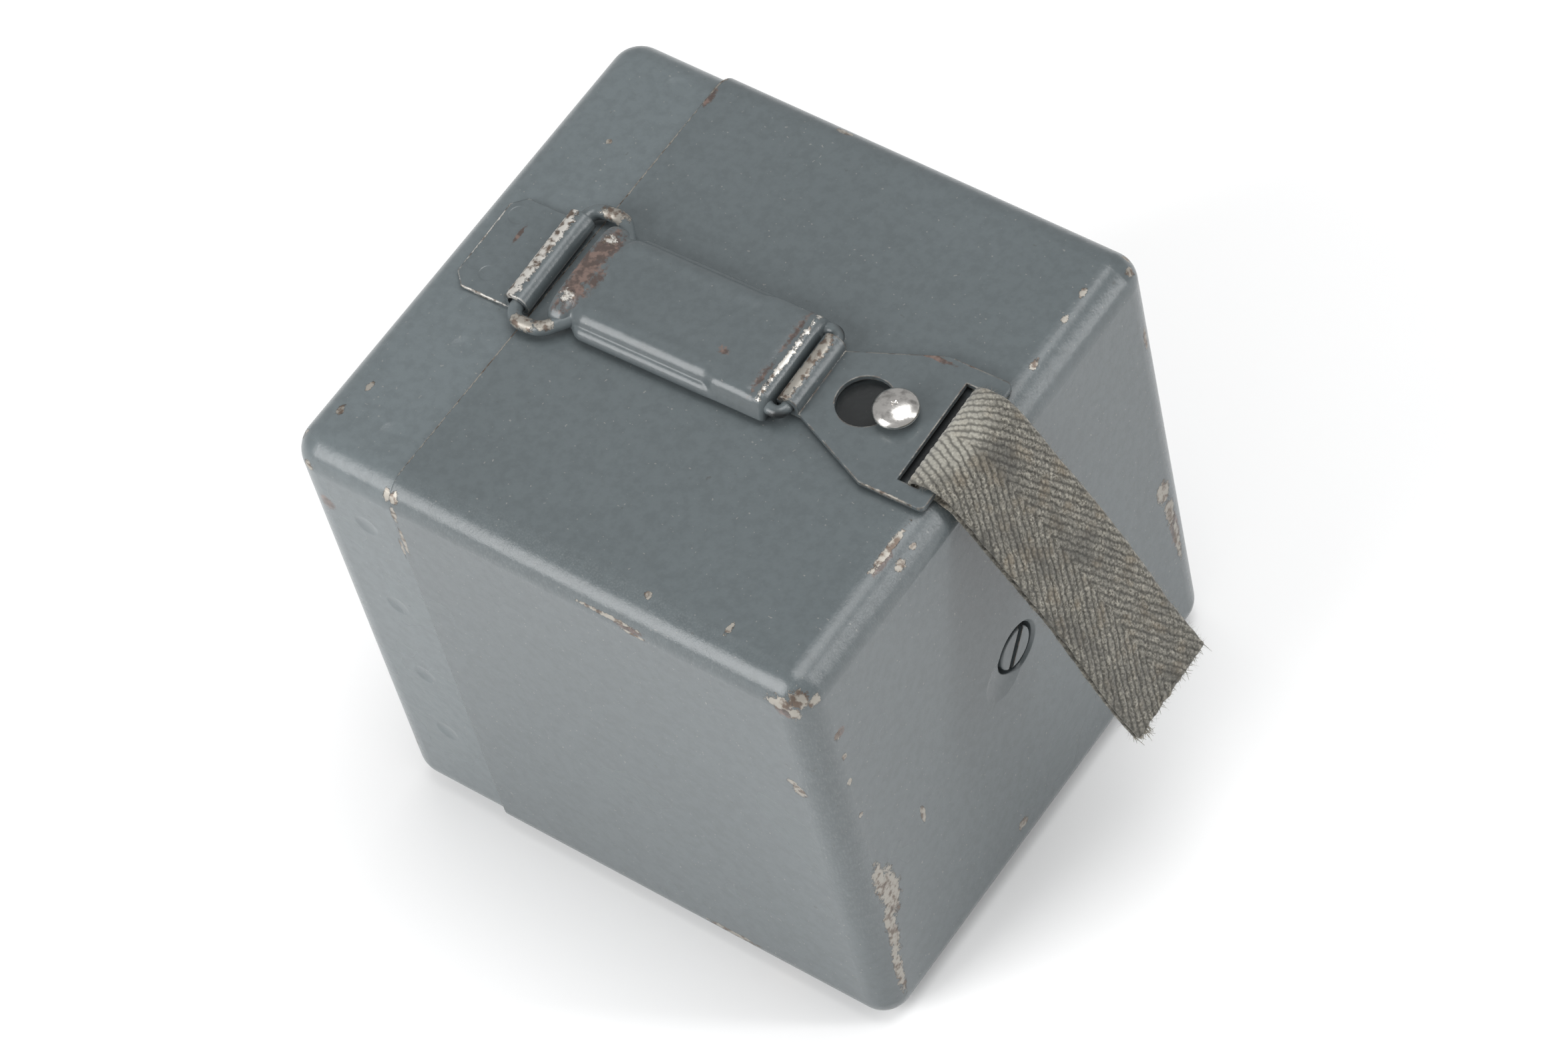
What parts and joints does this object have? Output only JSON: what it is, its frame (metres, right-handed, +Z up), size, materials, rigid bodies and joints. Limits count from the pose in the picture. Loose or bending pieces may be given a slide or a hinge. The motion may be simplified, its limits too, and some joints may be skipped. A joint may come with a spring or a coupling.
{
  "type": "bulk film loader",
  "caption": "Light-tight sheet-steel case with a hinged lid, a spring draw latch, a webbing pull tab and a spindle inside for bulk film.",
  "frame": {"origin": "middle of the case's footprint, on the face of the pressed panel that it stands on", "axes": "+Z up with the latch on top, +X from the lid's end to the end with the screw, +Y from the front to the back"},
  "size_m": [0.1402, 0.1038, 0.1158],
  "materials": {
    "enamel": "semi-gloss blue-grey enamel with fine orange peel",
    "latch_enamel": "semi-gloss blue-grey enamel, worn to metal on edges",
    "plate_enamel": "thin blue-grey enamel, scratched",
    "inner_paint": "matt black",
    "worn_wire": "steel wire with worn enamel",
    "bright_steel": "bright worn steel",
    "zinc_steel": "plain plated steel",
    "spring_steel": "dark spring steel",
    "screw_paint": "painted over steel",
    "webbing": "grey-olive herringbone cotton webbing",
    "black_felt": "black felt",
    "aluminium_hub": "turned aluminium",
    "black_flange": "satin black",
    "core_plastic": "black moulded plastic",
    "film": "wound film edges",
    "brass_nut": "turned brass"
  },
  "bodies": {
    "case": {"body_shell": "enamel", "hinge_leaf_body": "enamel", "hinge_pin": "bright_steel", "stud": "bright_steel", "stud_plate": "bright_steel", "end_screw": "screw_paint", "screw_washer": "zinc_steel", "spindle": "bright_steel", "drag_washer": "spring_steel", "retaining_washer": "zinc_steel", "retaining_nut": "brass_nut"},
    "lid": {"lid_shell": "enamel", "lid_band": "inner_paint", "light_seal": "black_felt", "lid_pad": "black_felt", "hinge_leaf_lid": "enamel", "latch_base_plate": "latch_enamel"},
    "bail": {"wire_bail": "worn_wire", "bail_washers": "zinc_steel", "bail_nuts": "zinc_steel", "bail_springs": "spring_steel"},
    "cover": {"latch_cover": "latch_enamel", "cover_base": "latch_enamel", "link_wire": "worn_wire", "link_anchor": "zinc_steel"},
    "plate": {"keyhole_plate": "plate_enamel", "pull_strap": "webbing"},
    "spool": {"spool_hub": "aluminium_hub", "spool_flange_outer": "black_flange", "spool_divider": "black_flange", "spool_flange_inner": "black_flange", "film_core_outer": "core_plastic", "film_core_inner": "core_plastic", "film_roll_outer": "film", "film_roll_inner": "film"}
  },
  "joints": [
    {"name": "lid_hinge", "type": "hinge", "parent": "case", "child": "lid", "pos_m": [-0.032, 0, 0.0016], "axis": [0, -1, 0], "range_deg": [0, 125], "deforming": ["pull_strap"]},
    {"name": "bail_hinge", "type": "hinge", "parent": "lid", "child": "bail", "pos_m": [-0.0341, 0.0004, 0.112], "axis": [0.0279, -0.9996, 0], "range_deg": [0, 160]},
    {"name": "latch_slide", "type": "slide", "parent": "bail", "child": "cover", "axis": [0.9996, 0.0279, 0], "range_m": [0, 0.0065], "stiffness_N_per_m": 1200, "springref_m": -0.003, "deforming": ["bail_springs"]},
    {"name": "plate_hinge", "type": "hinge", "parent": "cover", "child": "plate", "pos_m": [0.02038, 0.00192, 0.11325], "axis": [0.0279, -0.9996, 0], "range_deg": [0, 85]},
    {"name": "spool_spin", "type": "hinge", "parent": "case", "child": "spool", "pos_m": [0, -0.0002, 0.057], "axis": [1, 0, 0], "continuous": true}
  ],
  "couplings": [
    {"joint": "plate_hinge", "follows": "bail_hinge", "ratio": 0.5}
  ]
}
